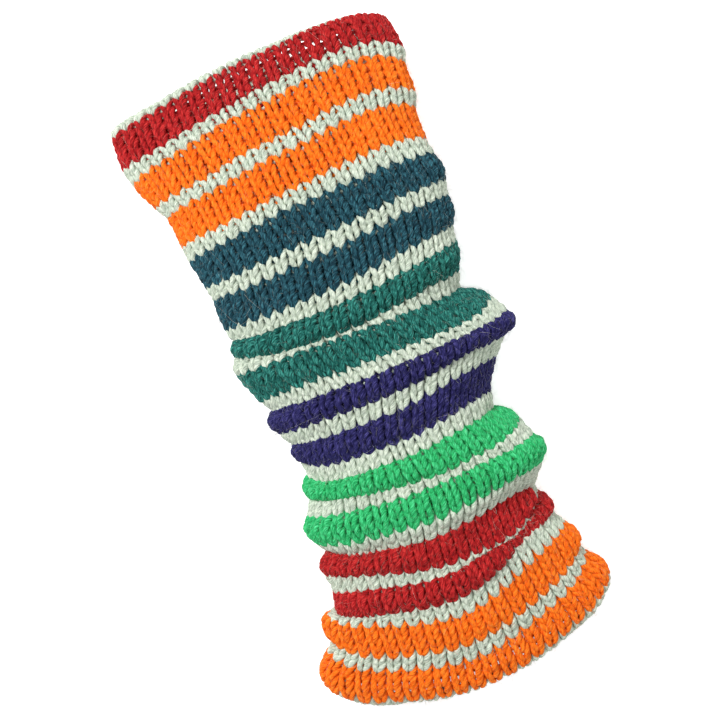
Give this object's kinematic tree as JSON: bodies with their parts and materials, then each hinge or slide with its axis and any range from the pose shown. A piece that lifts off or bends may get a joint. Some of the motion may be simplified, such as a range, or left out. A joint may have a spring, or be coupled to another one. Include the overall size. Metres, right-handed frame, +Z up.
{
  "type": "knitted tube warmer",
  "caption": "Slouched hand-knitted striped wool tube, open at both ends, that keeps a forearm or lower leg warm.",
  "frame": {"origin": "on the surface the tube lies on, under the middle of its bounding box", "axes": "+Y along the tube towards its top rim, +X to the right of the side that lies uppermost, +Z up from the surface"},
  "size_m": [0.14, 0.2968, 0.069],
  "materials": {
    "grey_wool": "matt, hairy two-ply wool yarn",
    "red_wool": "matt, hairy two-ply wool yarn",
    "orange_wool": "matt, hairy two-ply wool yarn",
    "petrol_wool": "matt, hairy two-ply wool yarn",
    "viridian_wool": "matt, hairy two-ply wool yarn",
    "indigo_wool": "matt, hairy two-ply wool yarn",
    "emerald_wool": "matt, hairy two-ply wool yarn"
  },
  "bodies": {
    "cuff": {"top_edge": "grey_wool", "red_band_1": "red_wool", "grey_band_1": "grey_wool", "orange_band_1": "orange_wool"},
    "upper": {"grey_band_2": "grey_wool", "orange_band_2": "orange_wool", "grey_band_3": "grey_wool", "petrol_band_1": "petrol_wool", "grey_band_4": "grey_wool", "petrol_band_2": "petrol_wool", "grey_band_5": "grey_wool", "viridian_band_1": "viridian_wool", "grey_band_6": "grey_wool", "viridian_band_2": "viridian_wool"},
    "middle": {"grey_band_7": "grey_wool", "indigo_band_1": "indigo_wool", "grey_band_8": "grey_wool", "indigo_band_2": "indigo_wool", "grey_band_9": "grey_wool"},
    "lower": {"emerald_band_1": "emerald_wool", "grey_band_10": "grey_wool", "emerald_band_2": "emerald_wool", "grey_band_11": "grey_wool", "red_band_2": "red_wool", "grey_band_12": "grey_wool", "red_band_3": "red_wool"},
    "hem": {"grey_band_13": "grey_wool", "orange_band_3": "orange_wool", "grey_band_14": "grey_wool", "orange_band_4": "orange_wool", "bottom_edge": "grey_wool"}
  },
  "joints": [
    {"name": "cuff_lift", "type": "hinge", "parent": "upper", "child": "cuff", "pos_m": [0, 0.0914, 0], "axis": [1, 0, 0], "range_deg": [0, 15], "deforming": ["grey_band_2", "orange_band_2", "grey_band_3"]},
    {"name": "upper_slouch", "type": "slide", "parent": "upper", "child": "middle", "axis": [0, -1, 0], "range_m": [0, 0.02], "deforming": ["grey_band_5", "viridian_band_1", "grey_band_6", "viridian_band_2"]},
    {"name": "waist_bend", "type": "hinge", "parent": "middle", "child": "lower", "pos_m": [0.004, -0.0267, 0], "axis": [0, 0, 1], "range_deg": [-12, 12], "deforming": ["grey_band_8", "indigo_band_2", "grey_band_9"]},
    {"name": "lower_slouch", "type": "slide", "parent": "lower", "child": "hem", "axis": [0, -1, 0], "range_m": [0, 0.02], "deforming": ["grey_band_11", "red_band_2", "grey_band_12", "red_band_3"]}
  ]
}
